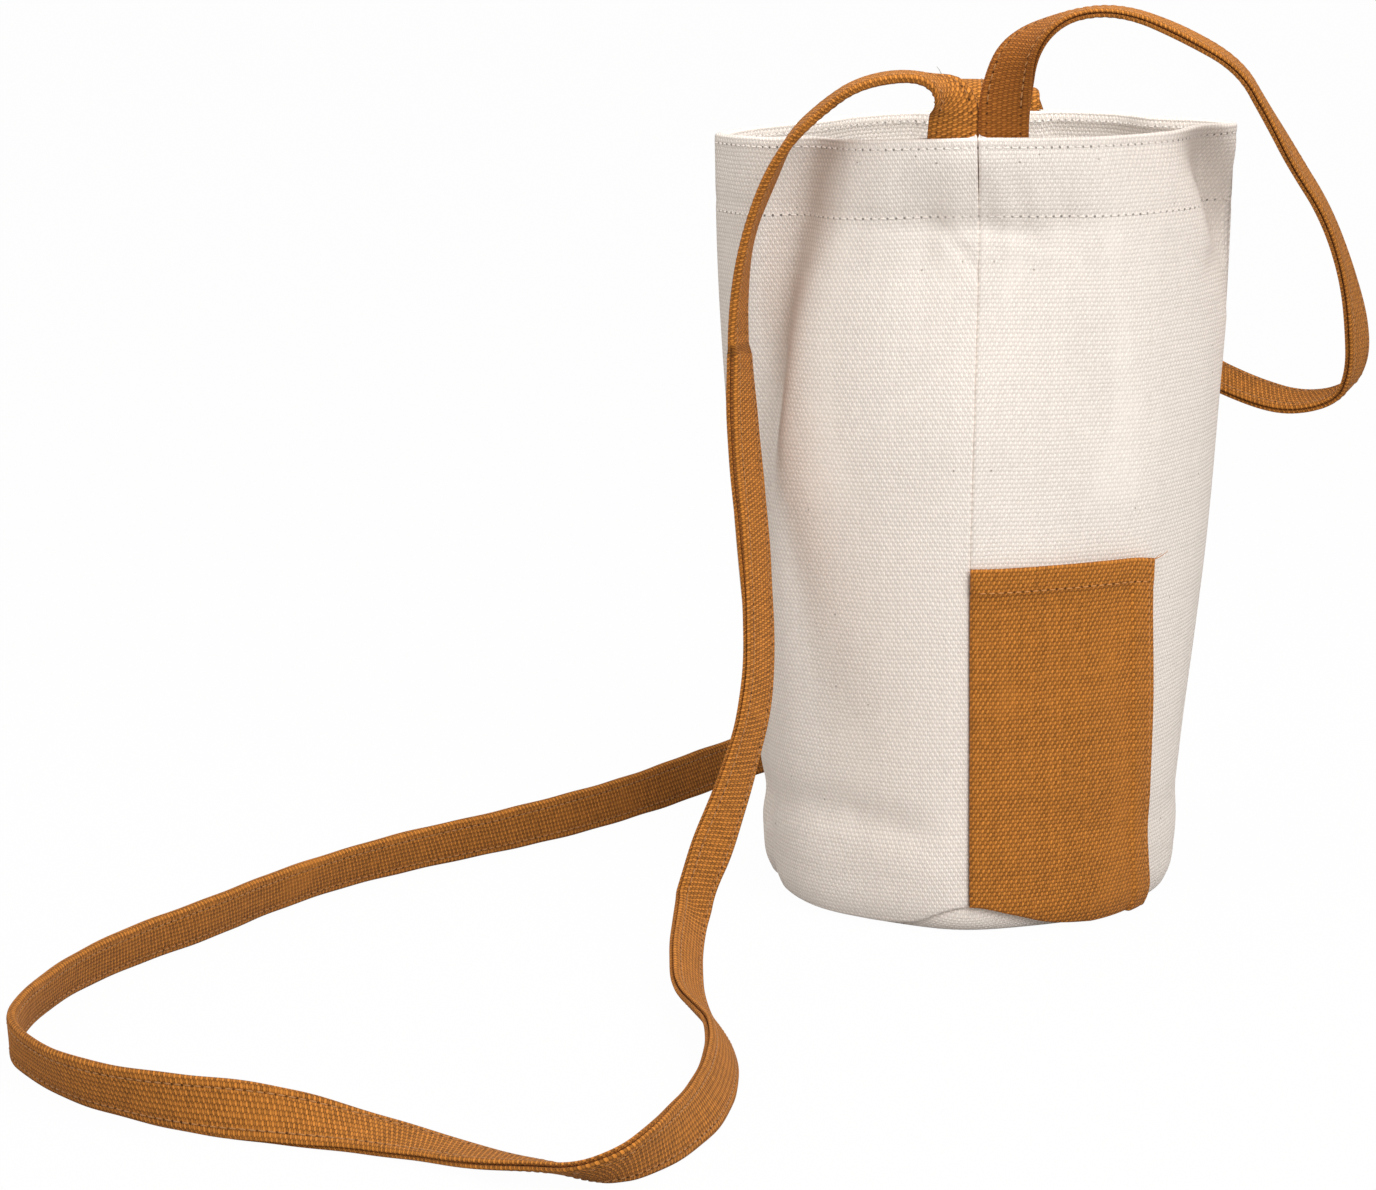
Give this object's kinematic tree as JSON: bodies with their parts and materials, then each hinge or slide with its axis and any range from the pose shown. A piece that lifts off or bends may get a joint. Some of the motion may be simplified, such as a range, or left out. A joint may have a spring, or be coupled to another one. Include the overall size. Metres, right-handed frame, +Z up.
{
  "type": "fruit picking bag",
  "caption": "Soft canvas bucket bag with a round bottom, a flat lens-shaped mouth, a patch pocket and two strap loops sewn in at the rim, for picking fruit.",
  "frame": {"origin": "middle of the round bottom, at the level of the surface it stands on", "axes": "+Z up through the mouth; -Y towards the near seam, from which the pocket runs; +X to the pocket's side, along the mouth's long axis"},
  "size_m": [0.4101, 0.4598, 0.2927],
  "materials": {
    "natural_canvas": "natural undyed cotton canvas, matt, with small dark flecks",
    "tan_canvas": "caramel tan cotton canvas, matt, slightly worn"
  },
  "bodies": {
    "root": {"left_wall": "natural_canvas", "right_wall": "natural_canvas", "left_facing": "natural_canvas", "right_facing": "natural_canvas", "base_panel": "natural_canvas", "pocket_panel": "tan_canvas", "long_strap": "tan_canvas", "short_strap": "tan_canvas"}
  },
  "joints": []
}
